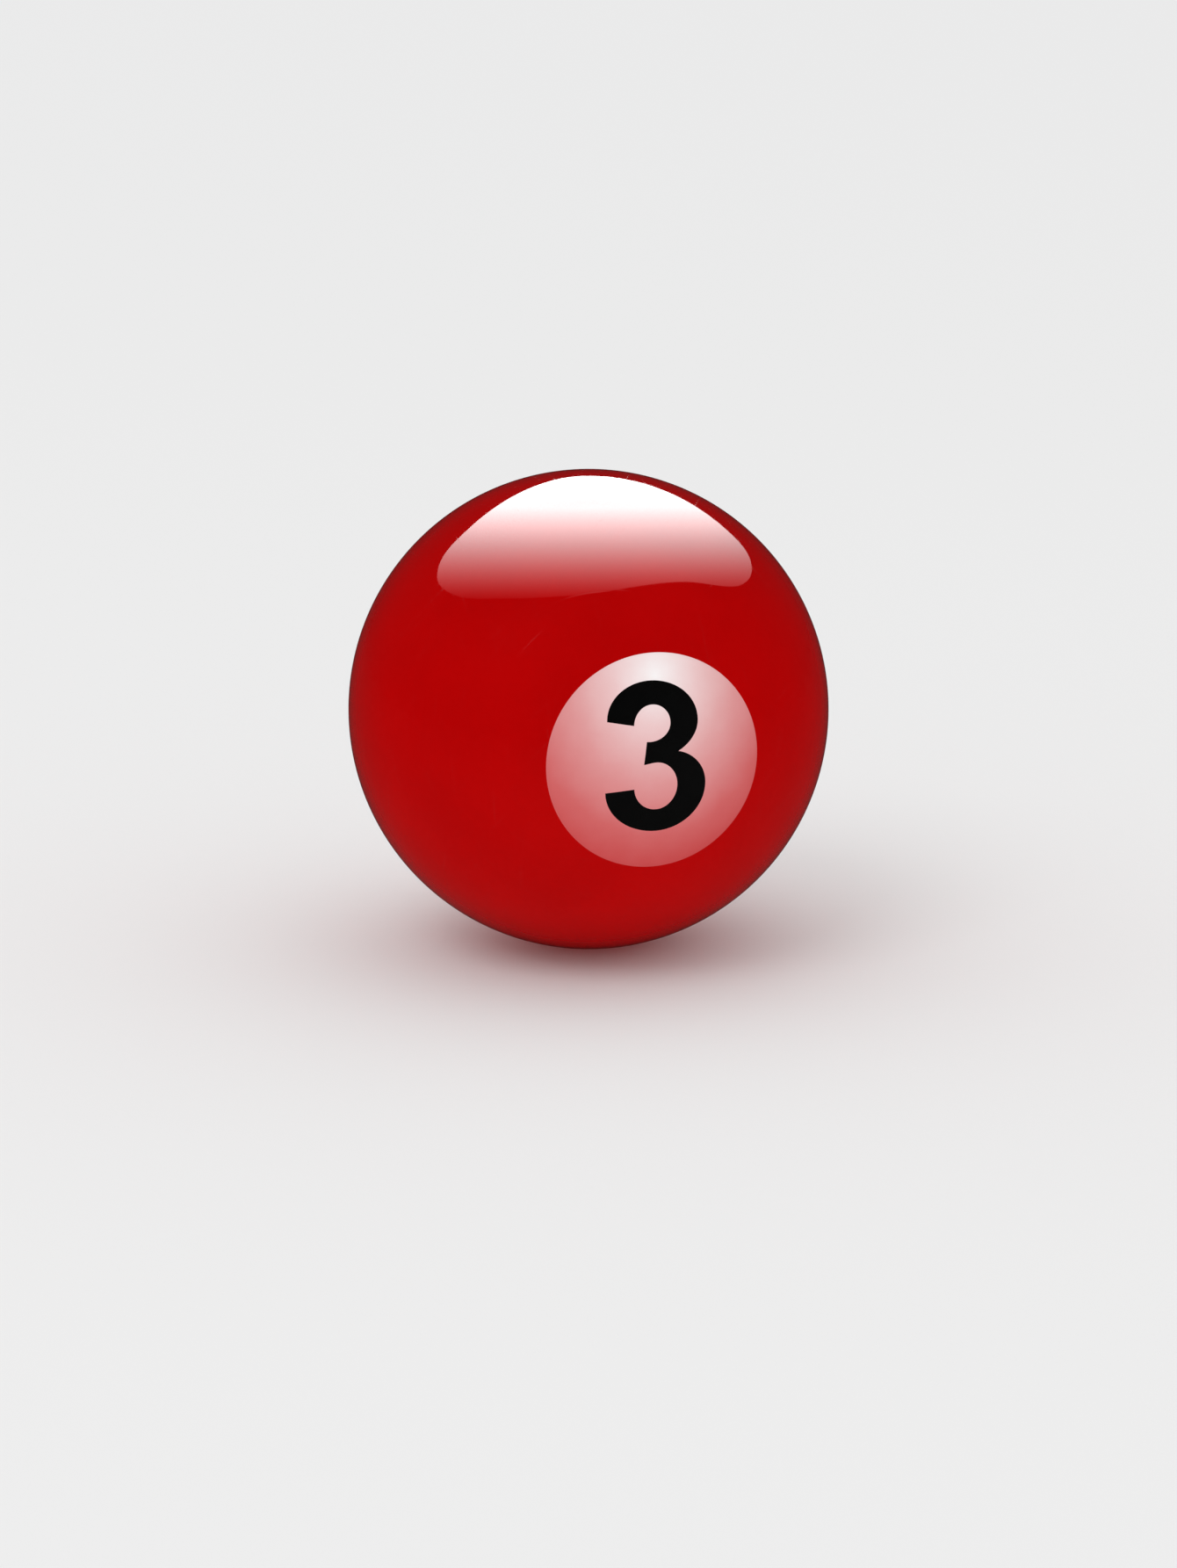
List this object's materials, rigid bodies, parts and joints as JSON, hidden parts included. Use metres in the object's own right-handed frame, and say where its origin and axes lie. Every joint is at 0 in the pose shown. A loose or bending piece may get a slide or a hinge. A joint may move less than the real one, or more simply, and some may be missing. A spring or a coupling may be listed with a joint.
{
  "type": "pool ball",
  "caption": "Glossy solid-colour pool ball with white number discs let in flush at opposite ends and a bold black numeral in each.",
  "frame": {"origin": "the ball's centre", "axes": "+Y along the number axis, from the front number disc to the back one; the numerals stand upright along +Z, and the front one is read looking along +Y"},
  "size_m": [0.0572, 0.0572, 0.0572],
  "materials": {
    "red_resin": "deep red cast phenolic resin, polished to a mirror gloss",
    "white_resin": "white cast phenolic resin with a red tint deepening towards its lower edge, polished flush with the ball",
    "black_resin": "black cast phenolic resin, polished flush with the disc"
  },
  "bodies": {
    "root": {"ball_body": "red_resin", "number_disc_front": "white_resin", "numeral_front": "black_resin", "number_disc_back": "white_resin", "numeral_back": "black_resin"}
  },
  "joints": []
}
